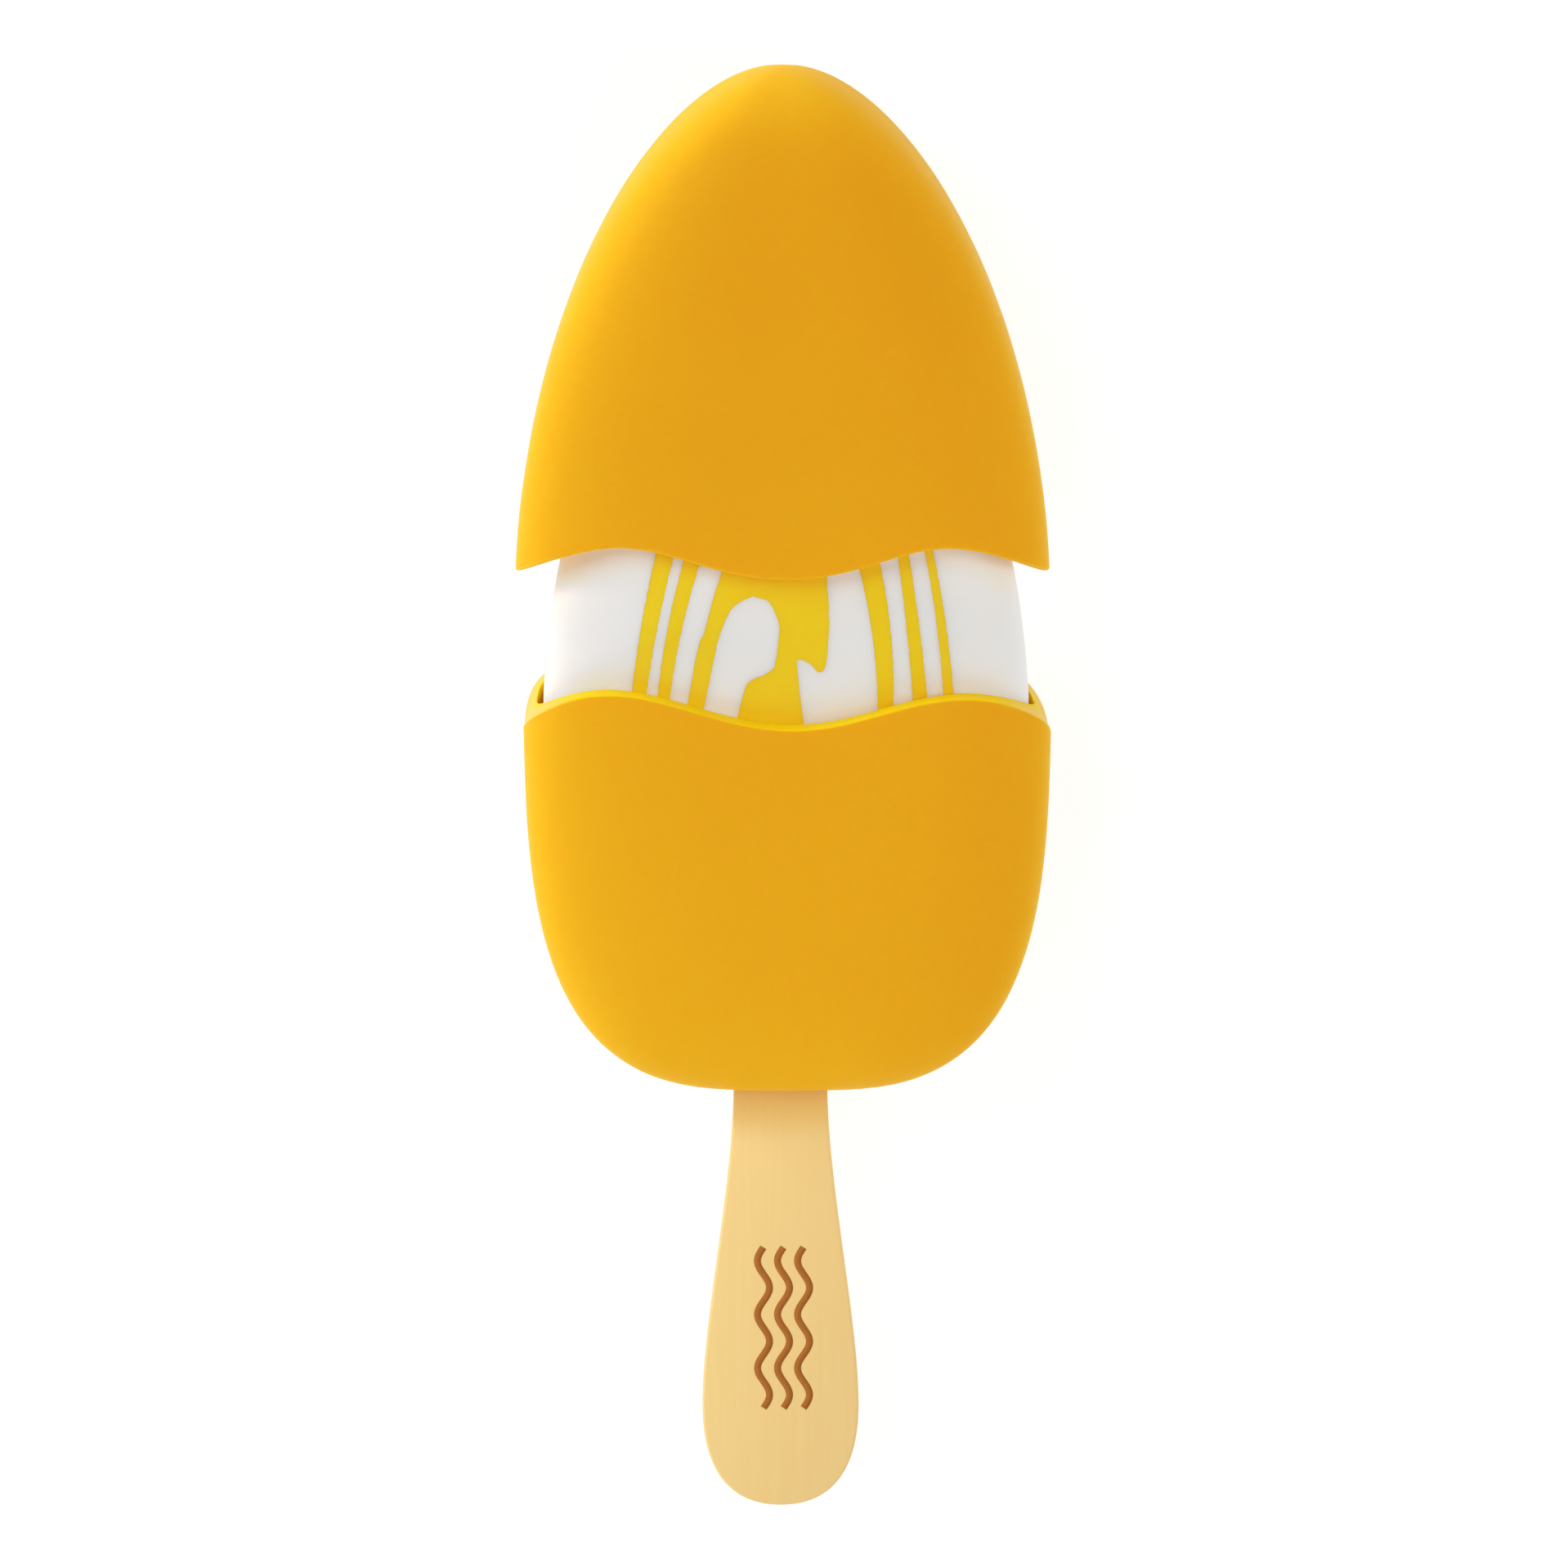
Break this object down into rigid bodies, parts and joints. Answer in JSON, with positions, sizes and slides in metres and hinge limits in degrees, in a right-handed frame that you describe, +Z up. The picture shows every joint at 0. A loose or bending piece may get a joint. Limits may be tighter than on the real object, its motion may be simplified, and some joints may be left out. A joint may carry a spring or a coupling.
{
  "type": "ice pop",
  "caption": "Fruit ice pop on a flat wooden stick, lying down, its shell cut by a wavy cut and drawn apart to show a white core with fruit ripple.",
  "frame": {"origin": "centre of the bounding box, on the surface that the pop lies on", "axes": "+Z up through the pop's thickness, +Y along the pop from the stick to the tip, +X across it, to the right of the shown face"},
  "size_m": [0.052, 0.1456, 0.0265],
  "materials": {
    "shell": "frozen mango and orange fruit ice, smooth and satin",
    "core": "white milk ice cream, matt",
    "ripple": "yellow fruit ripple, smooth and a little wet",
    "stick": "bare pale birch, planed, fine straight grain"
  },
  "bodies": {
    "root": {"shell_cap": "shell", "shell_cup": "shell", "core": "core", "stick": "stick", "ripple_left_outer": "ripple", "ripple_left_inner": "ripple", "ripple_centre": "ripple", "ripple_right_inner": "ripple", "ripple_right_middle": "ripple", "ripple_right_outer": "ripple"}
  },
  "joints": []
}
